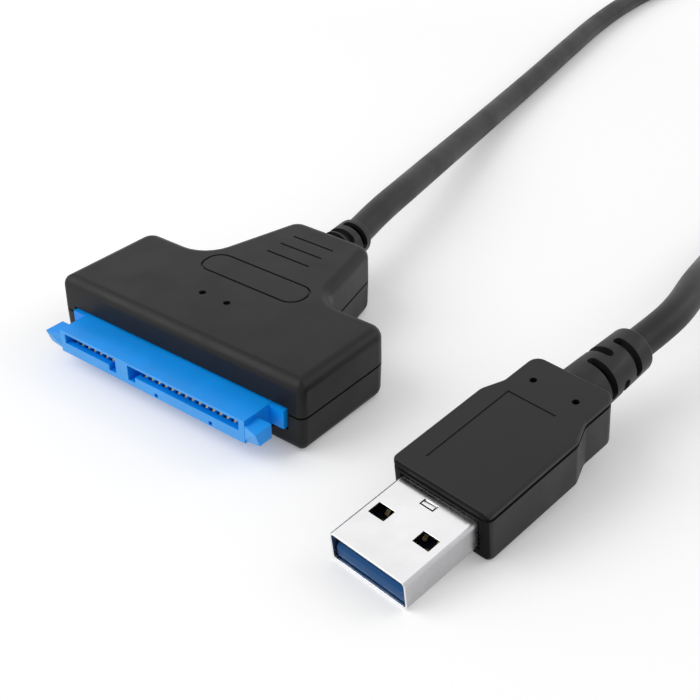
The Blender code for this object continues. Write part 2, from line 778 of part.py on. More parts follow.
def plug_shell(finish):
    """Folded sheet shell with two latch windows above and below and one punched tab."""
    centre = (0.0, plug_shell_height / 2)
    corners = rectangle(plug_shell_width, plug_shell_height, plug_shell_corner, centre)
    outer = rounded(corners, 0.0, 3)
    inner = rounded(corners, plug_sheet, 3)
    end = plug_shell_exposed + plug_shell_seat
    mesh = bmesh.new()
    loft(mesh, [[(p.x, 0.0, p.y) for p in outer], [(p.x, end, p.y) for p in outer],
                [(p.x, end, p.y) for p in inner], [(p.x, 0.0, p.y) for p in inner]], closed=True)
    shell = place('plug_shell', mesh, finish)
    for side in (-1, 1):
        for z in (0.0, plug_shell_height):
            near = side * window_offset
            far = side * (window_offset + window_width)
            cut(shell, block((min(near, far), window_behind, z - 2 * plug_sheet),
                             (max(near, far), window_behind + window_length, z + 2 * plug_sheet)))
    half = tab_width / 2
    low = plug_shell_height - 2 * plug_sheet
    high = plug_shell_height + plug_sheet
    for x in (-half, half - tab_slit):
        cut(shell, block((x, tab_behind, low), (x + tab_slit, tab_behind + tab_length, high)))
    cut(shell, block((-half, tab_behind, low), (half, tab_behind + tab_slit, high)))
    return shell


def plug_tongue(finish):
    """Insulator: a thin tongue with pin grooves, and a full-height block behind it."""
    half = plug_shell_width / 2 - plug_sheet - fit_gap
    low = plug_sheet + fit_gap
    high = plug_shell_height - plug_sheet - fit_gap
    end = plug_shell_exposed + plug_shell_seat - fit_gap
    step = end - tongue_block
    top = low + tongue_thickness
    outline = [(tongue_recess, low), (end, low), (end, high), (step, high), (step, top),
               (tongue_recess + tongue_lead, top), (tongue_recess, top - tongue_lead)]
    mesh = bmesh.new()
    loft(mesh, [[(x, y, z) for y, z in outline] for x in (-half, half)])
    tongue = place('plug_tongue', mesh, finish)
    floor = top - plug_sheet
    for x, y, width, length in plug_pins():
        side = width / 2 + contact_gap
        cut(tongue, block((x - side, y - contact_gap, floor), (x + side, y + length + contact_gap,
                                                               top + overshoot)))
    return tongue


def plug_pins():
    """(x, start, width, length) of the four front and the five rear pins."""
    front = tongue_recess + front_pin_behind
    rear = front + front_pin_length + 3 * contact_gap
    pins = [(x, front, front_pin_width, front_pin_length) for x in front_pin_places]
    return pins + [(x, rear, rear_pin_width, rear_pin_length) for x in rear_pin_places]


def plug_contacts(finish):
    level = plug_sheet + fit_gap + tongue_thickness - plug_sheet + contact_gap
    pieces = []
    for i, (x, y, width, length) in enumerate(plug_pins()):
        mesh = bmesh.new()
        if i < len(front_pin_places):
            path = [(y, level), (y + length, level)]
        else:
            path = [(y, level), (y + length / 3, level + contact_rise),
                    (y + 2 * length / 3, level + contact_rise), (y + length, level)]
        strip(mesh, path, width, contact_thickness)
        bmesh.ops.translate(mesh, vec=(x, 0, 0), verts=mesh.verts)
        pieces.append(place(f'plug_contact_{i + 1}', mesh, finish))
    return pieces


def cable(finish):
    """The jacketed cable, from the housing's strain relief to the plug's."""
    way = Vector((-math.sin(bend), math.cos(bend), 0.0))
    start = Vector((-relief_drift, stem_y + relief_run, cable_height)) + fit_gap * way
    frame = plug_place()
    tail = plug_shell_exposed + plug_body_length + plug_relief_length + fit_gap
    end = frame @ Vector((0.0, tail, plug_shell_height / 2))
    back = frame.to_3x3() @ Vector((0.0, 1.0, 0.0))
    route = [start + cable_lead * way, *[Vector(point) for point in cable_route], end + cable_lead * back]
    points = [start, *smooth_path(route, cable_point_spacing * cable_diameter), end]
    return tube('cable', points, cable_diameter / 2, finish, 3)


def inner_wires(colours):
    """The cable's cores, from the strain relief's plate to the pads on the board."""
    start_y = plate_front - fit_gap
    pad_y = board_back + board_tongue_length - wire_pad
    for i in range(wire_count):
        row = i % 2
        start_x = (i // 2 - (wire_count / 2 - 1) / 2) * 1.4 * wire_diameter
        start_z = cable_height - wire_drop - row * 1.8 * wire_diameter
        end_x = (i - (wire_count - 1) / 2) * wire_pitch
        end_z = part_level + wire_diameter / 2
        points = []
        for k in range(wire_bends + 1):
            t = k / wire_bends
            ease = t * t * (3 - 2 * t)
            points.append((start_x + (end_x - start_x) * ease, start_y + (pad_y - start_y) * t,
                           start_z + (end_z - start_z) * ease))
        points.append((end_x, pad_y - wire_diameter, end_z))
        tube(f'inner_wire_{i + 1}', points, wire_diameter / 2, colours[i], 1)


def build():
    for old in list(bpy.data.objects):
        bpy.data.objects.remove(old)
    black = material('charcoal_plastic', (0.045, 0.045, 0.047), 0.42)
    soft = material('black_jacket', (0.035, 0.035, 0.037), 0.5)
    blue = material('azure_plastic', (0.02, 0.24, 0.78), 0.38)
    navy = material('plug_blue_plastic', (0.02, 0.09, 0.36), 0.4)
    steel = material('bright_shell_metal', (0.82, 0.82, 0.84), 0.22, 1.0)
    gold = material('contact_gold', (0.86, 0.66, 0.30), 0.3, 1.0)
    board = material('board_green', (0.02, 0.16, 0.08), 0.45)
    dark = material('component_black', (0.02, 0.02, 0.022), 0.5)
    ceramic = material('component_tan', (0.45, 0.33, 0.2), 0.5)
    clear = material('light_lens', (0.75, 0.82, 0.85), 0.2)
    wires = [material(f'wire_{name}', colour, 0.45) for name, colour in (
        ('red', (0.6, 0.02, 0.02)), ('white', (0.8, 0.8, 0.78)), ('green', (0.02, 0.3, 0.06)),
        ('black', (0.02, 0.02, 0.02)), ('blue', (0.02, 0.08, 0.5)), ('yellow', (0.8, 0.55, 0.03)),
        ('violet', (0.25, 0.05, 0.4)), ('orange', (0.8, 0.22, 0.02)))]

    upper_shell(black)
    lower_shell(black)
    drive_connector(blue)
    signal, power = contact_places()
    for i, x in enumerate(signal):
        spring_contact(f'signal_contact_{i + 1}', x, gold)
    for i, x in enumerate(power):
        spring_contact(f'power_contact_{i + 1}', x, gold)
    circuit_board(board)
    board_parts(dark, steel, ceramic, clear)
    cable_relief(soft)
    inner_wires(wires)
    cable(soft)
    frame = plug_place()
    for piece in (plug_moulding(soft), plug_shell(steel), plug_tongue(navy), *plug_contacts(gold)):
        piece.matrix_world = frame
    for piece in bpy.data.objects:
        if piece.type == 'MESH':
            piece.data.shade_smooth()
            piece.data.set_sharp_from_angle(angle=math.radians(smooth_angle))


build()
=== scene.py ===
import json
import math

import bpy
from mathutils import Matrix, Vector


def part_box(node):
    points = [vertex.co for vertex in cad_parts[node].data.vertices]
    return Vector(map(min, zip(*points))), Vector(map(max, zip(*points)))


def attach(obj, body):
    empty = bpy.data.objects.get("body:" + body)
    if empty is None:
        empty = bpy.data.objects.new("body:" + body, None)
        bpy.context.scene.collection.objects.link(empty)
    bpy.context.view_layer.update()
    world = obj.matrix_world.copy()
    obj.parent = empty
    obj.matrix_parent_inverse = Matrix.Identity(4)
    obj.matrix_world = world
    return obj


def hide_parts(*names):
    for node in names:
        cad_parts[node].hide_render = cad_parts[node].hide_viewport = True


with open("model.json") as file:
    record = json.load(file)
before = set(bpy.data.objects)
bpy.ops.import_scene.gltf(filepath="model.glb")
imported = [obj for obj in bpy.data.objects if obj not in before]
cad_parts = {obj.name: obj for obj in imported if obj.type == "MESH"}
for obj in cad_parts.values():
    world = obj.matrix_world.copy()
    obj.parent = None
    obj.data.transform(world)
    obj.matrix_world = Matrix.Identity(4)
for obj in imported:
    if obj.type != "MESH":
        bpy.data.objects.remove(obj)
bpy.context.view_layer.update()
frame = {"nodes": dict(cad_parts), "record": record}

nodes = frame["nodes"]
print("frame loaded,", len(nodes), "nodes")


# Camera: the photograph's direction and lens, a little further back so that both ends of the cable fit
camera = {
    "place": (0.10186, -0.10868, 0.09522),
    "yaw": 38.13,      # degrees, turned towards -X
    "pitch": 33.24,    # degrees, downwards
    "lens": 60.3,
    "sensor": 36,
    "nearest": 0.005,
}


def addCamera():
    lensData = bpy.data.cameras.new("photoCamera")
    lensData.sensor_width = camera["sensor"]
    lensData.lens = camera["lens"]
    lensData.clip_start = camera["nearest"]
    holder = bpy.data.objects.new("photoCamera", lensData)
    bpy.context.scene.collection.objects.link(holder)
    holder.location = camera["place"]
    holder.rotation_euler = (math.radians(90 - camera["pitch"]), 0, math.radians(camera["yaw"]))
    bpy.context.scene.camera = holder


addCamera()
print("camera placed")


# Cable: straight out of the stem's relief, down to the floor, round outside the view and back to the plug
cable = {
    "diameter": 0.0046,
    "ringSteps": 7,
    "alongSteps": 10,
    "measureSteps": 64,
    "route": (
        (-0.00075, 0.02345, 0.0076), (-0.00277, 0.03222, 0.0076),
        (-0.0053, 0.0442, 0.0071), (-0.0094, 0.0605, 0.0056), (-0.0141, 0.0790, 0.0038),
        (-0.0184, 0.0985, 0.0027), (-0.0222, 0.1190, 0.0024), (-0.0260, 0.1400, 0.0024),
        (-0.0293, 0.1600, 0.0024), (-0.0311, 0.1790, 0.0024), (-0.0309, 0.1965, 0.0024),
        (-0.0272, 0.2130, 0.0024), (-0.0170, 0.2270, 0.0024), (0.0000, 0.2355, 0.0024),
        (0.0190, 0.2350, 0.0024), (0.0360, 0.2265, 0.0024), (0.0482, 0.2120, 0.0024),
        (0.0535, 0.1930, 0.0024), (0.0542, 0.1700, 0.0024), (0.0525, 0.1450, 0.0024),
        (0.0495, 0.1190, 0.0024), (0.0463, 0.0940, 0.0024), (0.0448, 0.0780, 0.0027),
        (0.0458, 0.0627, 0.0044), (0.0481, 0.0498, 0.0074), (0.0502, 0.0388, 0.0099),
        (0.05164, 0.02753, 0.0104), (0.05046, 0.01869, 0.00918),
    ),
}


# Small helpers for modelling by operators, with the limits that they share
shaping = {
    "mergeWithin": 0.000002,
    "levelWithin": 0.000002,    # faces this close to one plane, and turned alike, count as one flat
    "turnedAlike": 0.99,
    "endFacing": 0.9,           # the least part of a normal along the length, on an end face
    "roundAngle": 35,           # degrees between faces of one round
    "bevelAngle": 35,
    "bevelSteps": 2,
    "easedAngle": 45,
}


def deselectAll():
    if bpy.context.object and bpy.context.object.mode != "OBJECT":
        bpy.ops.object.mode_set(mode="OBJECT")
    bpy.ops.object.select_all(action="DESELECT")


def makeActive(piece):
    deselectAll()
    piece.select_set(True)
    bpy.context.view_layer.objects.active = piece


def applyStep(piece, kind, **settings):
    makeActive(piece)
    step = piece.modifiers.new(kind.lower(), kind)
    for name, value in settings.items():
        setattr(step, name, value)
    bpy.ops.object.modifier_apply(modifier=step.name)


def finishPiece(piece, material, slotName, *stoodFor):
    piece.data.validate()
    piece.data.materials.clear()
    piece.data.materials.append(material)
    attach(piece, "root")
    if stoodFor:
        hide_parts(*stoodFor)


def pick(piece, kind, test):
    # goes into edit mode with only the faces, edges or vertices selected that the test names
    makeActive(piece)
    bpy.ops.object.mode_set(mode="EDIT")
    bpy.ops.mesh.select_mode(type=kind)
    bpy.ops.mesh.select_all(action="DESELECT")
    bpy.ops.object.mode_set(mode="OBJECT")
    mesh = piece.data
    for item in {"FACE": mesh.polygons, "EDGE": mesh.edges, "VERT": mesh.vertices}[kind]:
        item.select = test(item)
    bpy.ops.object.mode_set(mode="EDIT")


def addSecondMaterial(piece, material, test):
    piece.data.materials.append(material)
    for face in piece.data.polygons:
        if test(face):
            face.material_index = 1


def mergedCopy(nodeName, pieceName):
    piece = bpy.data.objects.new(pieceName, nodes[nodeName].data.copy())
    bpy.context.scene.collection.objects.link(piece)
    pick(piece, "VERT", lambda item: True)
    bpy.ops.mesh.remove_doubles(threshold=shaping["mergeWithin"])
    bpy.ops.object.mode_set(mode="OBJECT")
    bpy.ops.mesh.customdata_custom_splitnormals_clear()
    return piece


def flatFaces(piece, leastArea):
    # the normal of each face that shares a plane with at least this much surface, by the face's number
    planes = {}    # faces of one plane share a rounded key
    for face in piece.data.polygons:
        plane = (*(round(part, 2) for part in face.normal), round(face.normal.dot(face.center), 5))
        planes.setdefault(plane, []).append(face)
    wide = [max(group, key=lambda face: face.area) for group in planes.values()
            if sum(face.area for face in group) > leastArea]
    flats = {}
    for face in piece.data.polygons:
        for base in wide:
            level = base.normal.dot(face.center - base.center)
            alike = base.normal.dot(face.normal) > shaping["turnedAlike"]
            if abs(level) < shaping["levelWithin"] and alike:
                flats[face.index] = base.normal.copy()
    return flats


def keepFlats(piece, flats):
    # smooth rounds, and flat faces that keep their plane's normal, so that no streaks run over them
    makeActive(piece)
    roundAngle = math.radians(shaping["roundAngle"])
    bpy.ops.object.shade_smooth_by_angle(angle=roundAngle)
    mesh = piece.data
    flatAt = {}
    for face in mesh.polygons:
        if face.index in flats:
            for corner in face.vertices:
                flatAt.setdefault(corner, []).append(flats[face.index])
    normals = [Vector((0, 0, 0)) for loop in mesh.loops]    # a zero normal stays as it is
    for face in mesh.polygons:
        for loop in face.loop_indices:
            beside = flatAt.get(mesh.loops[loop].vertex_index, [])
            close = [normal for normal in beside if normal.angle(face.normal) < roundAngle]
            if face.index in flats:
                normals[loop] = flats[face.index]
            elif close:
                normals[loop] = min(close, key=lambda normal: normal.angle(face.normal))
    mesh.normals_split_custom_set(normals)


def easeEdges(piece, edge):
    applyStep(piece, "BEVEL", width=edge, segments=shaping["bevelSteps"], limit_method="ANGLE",
              angle_limit=math.radians(shaping["bevelAngle"]), use_clamp_overlap=True,
              miter_outer="MITER_ARC", face_strength_mode="FSTR_ALL")
    makeActive(piece)
    bpy.ops.object.shade_smooth_by_angle(angle=math.radians(shaping["easedAngle"]))
    applyStep(piece, "WEIGHTED_NORMAL", keep_sharp=True, use_face_influence=True)


def cutAcross(piece, place, normal, clear=False):
    pick(piece, "FACE", lambda item: True)
    bpy.ops.mesh.bisect(plane_co=place, plane_no=normal, use_fill=clear, clear_outer=clear)
    bpy.ops.object.mode_set(mode="OBJECT")


def applyPlace(piece):
    makeActive(piece)
    bpy.ops.object.transform_apply(location=True, rotation=True, scale=True)


def addRod(radius, length, place, direction, sides):
    deselectAll()
    turn = Vector(direction).to_track_quat("Z", "Y").to_euler()
    bpy.ops.mesh.primitive_cylinder_add(vertices=sides, radius=radius, depth=length, location=place,
                                        rotation=turn)
    rod = bpy.context.object
    applyPlace(rod)
    return rod


def joinAll(pieces):
    makeActive(pieces[0])
    for piece in pieces:
        piece.select_set(True)
    bpy.ops.object.join()
    return pieces[0]


def combine(piece, other, operation):
    applyStep(piece, "BOOLEAN", object=other, operation=operation, solver="EXACT", use_self=True)
    bpy.data.objects.remove(other)


# Materials: every plastic has fine grain, slow mottling and its own unevenness of gloss
def addNode(tree, kind, links=None, **settings):
    node = tree.nodes.new(kind)
    for name, value in settings.items():
        if name in node.inputs:
            node.inputs[name].default_value = value
        else:
            setattr(node, name, value)
    for name, source in (links or {}).items():
        tree.links.new(source, node.inputs[name])
    return node


def spreadValue(tree, source, span, result):
    node = addNode(tree, "ShaderNodeMapRange", {"Value": source})
    for name, value in zip(("From Min", "From Max", "To Min", "To Max"), (*span, *result)):
        node.inputs[name].default_value = value
    return node.outputs["Result"]


mottling = {
    "span": (0.35, 0.65),    # the part of its range that most of the noise fills
    "detail": 3.0,
}


def grainFinish(name, look):
    material = bpy.data.materials.new(name)
    material.use_nodes = True
    tree = material.node_tree
    shader = tree.nodes["Principled BSDF"]
    place = addNode(tree, "ShaderNodeTexCoord").outputs["Object"]
    mottle = addNode(tree, "ShaderNodeTexNoise", {"Vector": place}, Scale=look["mottleScale"],
                     Detail=mottling["detail"])
    ramp = addNode(tree, "ShaderNodeValToRGB", {"Fac": mottle.outputs["Fac"]})
    factors = (1 - look["mottle"], 1 + look["mottle"])
    for stop, position, factor in zip(ramp.color_ramp.elements, mottling["span"], factors):
        stop.position = position
        stop.color = (*(min(part * factor, 1.0) for part in look["colour"]), 1)
    tree.links.new(ramp.outputs["Color"], shader.inputs["Base Color"])
    gloss = spreadValue(tree, mottle.outputs["Fac"], mottling["span"], look["roughness"])
    tree.links.new(gloss, shader.inputs["Roughness"])
    grain = addNode(tree, "ShaderNodeTexNoise", {"Vector": place}, Scale=look["grainScale"],
                    Detail=mottling["detail"])
    bump = addNode(tree, "ShaderNodeBump", {"Height": grain.outputs["Fac"]}, Strength=look["grainStrength"],
                   Distance=look["grainDepth"])
    tree.links.new(bump.outputs["Normal"], shader.inputs["Normal"])
    shader.inputs["Metallic"].default_value = look.get("metallic", 0.0)
    shader.inputs["Specular IOR Level"].default_value = look.get("specular", 0.5)
    return material


finishes = {
    "housingPlastic": {
        "colour": (0.011, 0.011, 0.0115), "mottle": 0.06, "mottleScale": 160,
        "roughness": (0.36, 0.48), "specular": 0.18,
        "grainScale": 5200, "grainStrength": 0.35, "grainDepth": 0.00002,
    },
    "jacketPlastic": {
        "colour": (0.012, 0.012, 0.013), "mottle": 0.05, "mottleScale": 120,
        "roughness": (0.38, 0.52), "specular": 0.25,
        "grainScale": 3800, "grainStrength": 0.25, "grainDepth": 0.00002,
    },
    "plugPlastic": {
        "colour": (0.014, 0.014, 0.015), "mottle": 0.06, "mottleScale": 150,
        "roughness": (0.38, 0.5), "specular": 0.25,
        "grainScale": 4800, "grainStrength": 0.3, "grainDepth": 0.00002,
    },
    # near-black, duller plastic for the moulding's faces that face forward: painted shade
    "plugFrontPaintedShade": {
        "colour": (0.005, 0.005, 0.0055), "mottle": 0.06, "mottleScale": 150,
        "roughness": (0.55, 0.65), "specular": 0.1,
        "grainScale": 4800, "grainStrength": 0.1, "grainDepth": 0.000005,
    },
    "connectorPlastic": {
        "colour": (0.003, 0.31, 0.93), "mottle": 0.05, "mottleScale": 200,
        "roughness": (0.28, 0.38), "specular": 0.3,
        "grainScale": 6500, "grainStrength": 0.2, "grainDepth": 0.00001,
    },
    # a paler, glossier blue for the connector's front and lead-in faces: painted sheen
    "connectorFrontPaintedSheen": {
        "colour": (0.05, 0.36, 0.88), "mottle": 0.05, "mottleScale": 200,
        "roughness": (0.3, 0.4), "specular": 0.4,
        "grainScale": 6500, "grainStrength": 0.2, "grainDepth": 0.00001,
    },
    "tonguePlastic": {
        "colour": (0.003, 0.065, 0.2), "mottle": 0.05, "mottleScale": 260,
        "roughness": (0.4, 0.5), "specular": 0.15,
        "grainScale": 6500, "grainStrength": 0.2, "grainDepth": 0.00001,
    },
    "platedShell": {
        "colour": (0.86, 0.86, 0.87), "mottle": 0.03, "mottleScale": 240,
        "roughness": (0.16, 0.24), "metallic": 1.0,
        "grainScale": 9000, "grainStrength": 0.1, "grainDepth": 0.000005,
    },
    # darker plating for the shell's sides, with a rougher gloss: painted shade
    "shellSidePaintedShade": {
        "colour": (0.5, 0.5, 0.51), "mottle": 0.03, "mottleScale": 240,
        "roughness": (0.24, 0.34), "metallic": 1.0,
        "grainScale": 9000, "grainStrength": 0.1, "grainDepth": 0.000005,
    },
    "contactGold": {
        "colour": (0.22, 0.2, 0.165), "mottle": 0.05, "mottleScale": 500,
        "roughness": (0.34, 0.46), "metallic": 1.0,
        "grainScale": 9000, "grainStrength": 0.1, "grainDepth": 0.000005,
    },
    # a darkened gold for the plug's contacts inside the shell: painted shade
    "pinGoldPaintedShade": {
        "colour": (0.16, 0.13, 0.07), "mottle": 0.05, "mottleScale": 500,
        "roughness": (0.4, 0.5), "metallic": 1.0,
        "grainScale": 9000, "grainStrength": 0.1, "grainDepth": 0.000005,
    },
    # near-black navy for the tongue deeper inside the shell: painted shade
    "tongueInsidePaintedShade": {
        "colour": (0.003, 0.006, 0.014), "mottle": 0.05, "mottleScale": 260,
        "roughness": (0.5, 0.6), "specular": 0.15,
        "grainScale": 6500, "grainStrength": 0.2, "grainDepth": 0.00001,
    },
    "boardLacquer": {
        "colour": (0.015, 0.13, 0.06), "mottle": 0.1, "mottleScale": 400,
        "roughness": (0.25, 0.4),
        "grainScale": 3000, "grainStrength": 0.3, "grainDepth": 0.00002,
    },
    "chipEpoxy": {
        "colour": (0.02, 0.02, 0.021), "mottle": 0.08, "mottleScale": 600,
        "roughness": (0.45, 0.6),
        "grainScale": 7000, "grainStrength": 0.3, "grainDepth": 0.00001,
    },
    "ceramicTan": {
        "colour": (0.42, 0.31, 0.19), "mottle": 0.08, "mottleScale": 700,
        "roughness": (0.4, 0.55),
        "grainScale": 7000, "grainStrength": 0.2, "grainDepth": 0.00001,
    },
    "lensClear": {
        "colour": (0.7, 0.78, 0.82), "mottle": 0.03, "mottleScale": 500,
        "roughness": (0.12, 0.2),
        "grainScale": 7000, "grainStrength": 0.1, "grainDepth": 0.000005,
    },
}
materials = {name: grainFinish(name, look) for name, look in finishes.items()}
wireColours = {
    "red": (0.6, 0.02, 0.02), "white": (0.8, 0.8, 0.78),
    "green": (0.02, 0.3, 0.06), "black": (0.02, 0.02, 0.02),
    "blue": (0.02, 0.08, 0.5), "yellow": (0.8, 0.55, 0.03),
    "violet": (0.25, 0.05, 0.4), "orange": (0.8, 0.22, 0.02),
}
for name, colour in wireColours.items():
    materials["wire_" + name] = grainFinish("wire_" + name, {**finishes["jacketPlastic"], "colour": colour})
print("materials made:", len(materials))


# Which material each slot of the CAD nodes gets: a wire's has the slot's own name
slotMaterials = {
    "housing": "housingPlastic", "jacket": "jacketPlastic", "connector_blue": "connectorPlastic",
    "tongue_blue": "tonguePlastic", "shell_metal": "platedShell", "contact_metal": "contactGold",
    "board": "boardLacquer", "component": "chipEpoxy", "ceramic": "ceramicTan", "lens": "lensClear",
}
nodeSlots = {part["node"]: part["material_slot"] for part in frame["record"]["subparts"]}
for name, piece in nodes.items():
    slotName = nodeSlots[name]
    piece.data.materials.clear()
    # the plug's contacts take the darkened gold: painted shade
    finishName = "pinGoldPaintedShade" if name.startswith("plug_contact") else slotMaterials.get(slotName, slotName)
    piece.data.materials.append(materials[finishName])


# Cable
def addCable(look):
    line = bpy.data.curves.new("cableJacket", "CURVE")
    line.dimensions = "3D"
    line.bevel_depth = look["diameter"] / 2
    line.bevel_resolution = look["ringSteps"]
    line.resolution_u = look["alongSteps"]
    line.use_fill_caps = True
    spline = line.splines.new("BEZIER")
    spline.bezier_points.add(len(look["route"]) - 1)
    for target, point in zip(spline.bezier_points, look["route"]):
        target.co = point
        target.handle_left_type = target.handle_right_type = "AUTO"
    piece = bpy.data.objects.new("cable_jacket", line)
    bpy.context.scene.collection.objects.link(piece)
    return piece


jacket = addCable(cable)
jacket.data.materials.append(materials["jacketPlastic"])
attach(jacket, "root")
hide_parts("cable")


# Housing: merged copies of the shells, with smooth fillets
shells = {
    "names": ("housing_upper_shell", "housing_lower_shell"),
    "flatArea": 30e-6,
}
for name in shells["names"]:
    piece = mergedCopy(name, name + "_smooth")
    keepFlats(piece, flatFaces(piece, shells["flatArea"]))
    finishPiece(piece, materials["housingPlastic"], "housing", name)
print("housing smoothed")


# Drive connector: a merged copy, flat shaded, whose front and lead-in faces get a paler, glossier blue:
# painted sheen
connector = {"frontBehind": 0.0008, "frontFacing": 0.3}
connectorBody = mergedCopy("sata_connector_body", "sata_connector_painted_sheen")
makeActive(connectorBody)
bpy.ops.object.shade_flat()
finishPiece(connectorBody, materials["connectorPlastic"], "connector_blue", "sata_connector_body")
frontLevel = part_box("sata_connector_body")[0][1] + connector["frontBehind"]
# faces that face forward, at the front, take the paler blue: painted sheen
addSecondMaterial(connectorBody, materials["connectorFrontPaintedSheen"],
                  lambda face: face.normal.y < -connector["frontFacing"] and face.center.y < frontLevel)
print("drive connector made")


# Strain reliefs: a round sleeve with pairs of openings across it, round at their ends, and a core inside
reliefs = {    # each opening: how far from the start of its place, and degrees round the sleeve
    "housing": {
        "start": 0.0003, "length": 0.0057, "rootRadius": 0.0031, "endRadius": 0.0030, "endRound": 0.0004,
        "coreRadius": 0.0024, "corePast": 0.00025, "coreBehind": 0.0001,
        "openings": ((0.0007, 90), (0.0033, 50)), "openingWidth": 0.0013, "openingReach": 47,
        "edge": 0.00012,
    },
    "plug": {
        "start": -0.0012, "length": 0.0140, "rootRadius": 0.0038, "endRadius": 0.0033, "endRound": 0.0005,
        "coreRadius": 0.0024, "corePast": 0.00025, "coreBehind": 0.0001,
        "openings": ((0.0031, 45), (0.0059, 130), (0.0087, 45)), "openingWidth": 0.0013, "openingReach": 47,
        "edge": 0.00012,
    },
}
facets = {"sleeve": 64, "opening": 64, "core": 48, "openingEnd": 24, "endRound": 4}


def addOpening(look, begin, turn):
    # a wedge of a disc with a rod at each side, which cuts one opening with round ends
    reach = 2 * look["rootRadius"]
    middle = Vector((0, begin + look["openingWidth"] / 2, 0))
    wedge = addRod(reach, look["openingWidth"], middle, (0, 1, 0), facets["opening"])
    cutters = [wedge]
    for side in (1, -1):
        angle = math.radians(turn + side * look["openingReach"])
        outward = Vector((math.cos(angle), 0, math.sin(angle)))
        across = Vector((-math.sin(angle), 0, math.cos(angle))) * side
        cutAcross(wedge, (0, 0, 0), across, clear=True)
        cutters.append(addRod(look["openingWidth"] / 2, reach, middle + outward * reach / 2, outward,
                              facets["openingEnd"]))
    return cutters


def addSleeve(name, look):
    deselectAll()
    far = look["start"] + look["length"]
    sleeve = addRod(look["rootRadius"], look["length"], (0, far - look["length"] / 2, 0), (0, 1, 0),
                    facets["sleeve"])
    sleeve.name = sleeve.data.name = name
    pick(sleeve, "FACE", lambda face: face.normal.y > shaping["endFacing"])
    shrink = look["endRadius"] / look["rootRadius"]
    bpy.ops.transform.resize(value=(shrink, 1, shrink), center_override=(0, far, 0))
    bpy.ops.mesh.bevel(offset=look["endRound"], segments=facets["endRound"], affect="EDGES")
    bpy.ops.object.mode_set(mode="OBJECT")
    cutters = []
    for begin, turn in look["openings"]:
        for half in (0, 180):
            cutters += addOpening(look, begin, turn + half)
    combine(sleeve, joinAll(cutters), "DIFFERENCE")
    coreLength = look["length"] + look["corePast"] - look["coreBehind"]
    core = addRod(look["coreRadius"], coreLength, (0, far + look["corePast"] - coreLength / 2, 0), (0, 1, 0),
                  facets["core"])
    combine(sleeve, core, "UNION")
    return sleeve


# The housing's relief also has a neck through the stem's wall, a plate behind the wall and a slight bend
socket = {
    "neckRadius": 0.0026, "neckDepth": 0.0023, "neckInto": 0.0003,
    "plateSize": (0.0094, 0.0014, 0.0060), "plateBehind": 0.0016, "plateDrop": 0.0041,
    "bend": 13,    # degrees
}


def addBlock(size, middle):
    deselectAll()
    bpy.ops.mesh.primitive_cube_add(size=1, location=middle)
    block = bpy.context.object
    block.scale = size
    applyPlace(block)
    return block


def addHousingRelief(look):
    sleeve = addSleeve("housing_relief", reliefs["housing"])
    neckEnd = reliefs["housing"]["start"] + look["neckInto"]
    neckMiddle = (neckEnd - look["neckDepth"]) / 2
    neckLength = neckEnd + look["neckDepth"]
    neck = addRod(look["neckRadius"], neckLength, (0, neckMiddle, 0), (0, 1, 0), facets["core"])
    combine(sleeve, neck, "UNION")
    width, depth, height = look["plateSize"]
    plateMiddle = (0, -look["plateBehind"] - depth / 2, height / 2 - look["plateDrop"])
    combine(sleeve, addBlock((width, depth, height), plateMiddle), "UNION")
    sleeve.rotation_euler.z = math.radians(-90)
    applyPlace(sleeve)
    front = look["plateBehind"] + depth
    straight = front / (front + reliefs["housing"]["start"] + reliefs["housing"]["length"])
    applyStep(sleeve, "SIMPLE_DEFORM", deform_method="BEND", deform_axis="Z",
              angle=math.radians(look["bend"]), limits=(straight, 1.0))
    sleeve.rotation_euler.z = math.radians(90)
    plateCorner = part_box("cable_strain_relief")[0]
    sleeve.location = (0, plateCorner[1] + front, plateCorner[2] + look["plateDrop"])
    applyPlace(sleeve)
    easeEdges(sleeve, reliefs["housing"]["edge"])
    return sleeve


housingRelief = addHousingRelief(socket)
finishPiece(housingRelief, materials["jacketPlastic"], "jacket", "cable_strain_relief")
print("housing relief made")


# USB plug: sizes in its own frame, length from the shell's tip, height from the shell's underside
plug = {
    "tip": (0.0438, -0.0312, 0.00005),
    "turn": -7.6, "tilt": 7.762,    # degrees
    "reliefBehind": 0.0380, "middle": 0.00225, "stub": 0.0004,
    # tongueShadeBehind, frontFacing and sideFacing set where the painted shade goes on the tongue, the
    # moulding's front and the shell's sides
    "tongueShadeBehind": 0.0040, "mouldingFlat": 12e-6, "shellEdge": 0.00005,
    "frontFacing": 0.7, "sideFacing": 0.5, "contacts": 9,
}
foldedShell = {
    "width": 0.0120, "height": 0.0045, "length": 0.0170, "corner": 0.0007, "sheet": 0.0003,
    "windowWidth": 0.0025, "windowLength": 0.00195, "windowOffset": 0.00225, "windowBehind": 0.00516,
    "tabWidth": 0.0021, "tabLength": 0.0010, "tabBehind": 0.0099, "slit": 0.00018, "groove": 0.00012,
    "seam": 0.00008, "cornerSteps": 6,
}
plugTurn = Matrix.Rotation(math.radians(plug["turn"]), 4, "Z")
plugTurn = plugTurn @ Matrix.Rotation(math.radians(plug["tilt"]), 4, "X")
plugPlace = Matrix.Translation(plug["tip"]) @ plugTurn
plugAlong = plugTurn.to_3x3() @ Vector((0, 1, 0))
plugAcross = plugTurn.to_3x3() @ Vector((1, 0, 0))


def addPlugMoulding(look):
    # the node's moulding up to its tail, which gets the turned relief
    moulding = mergedCopy("plug_moulding", "plug_moulding_eased")
    tail = plugPlace @ Vector((0, look["reliefBehind"] + look["stub"], 0))
    cutAcross(moulding, tail, plugAlong, clear=True)
    keepFlats(moulding, flatFaces(moulding, look["mouldingFlat"]))
    return moulding


def addPlugRelief(look):
    sleeve = addSleeve("plug_relief", reliefs["plug"])
    sleeve.matrix_world = plugPlace @ Matrix.Translation((0, look["reliefBehind"], look["middle"]))
    applyPlace(sleeve)
    easeEdges(sleeve, reliefs["plug"]["edge"])
    return sleeve


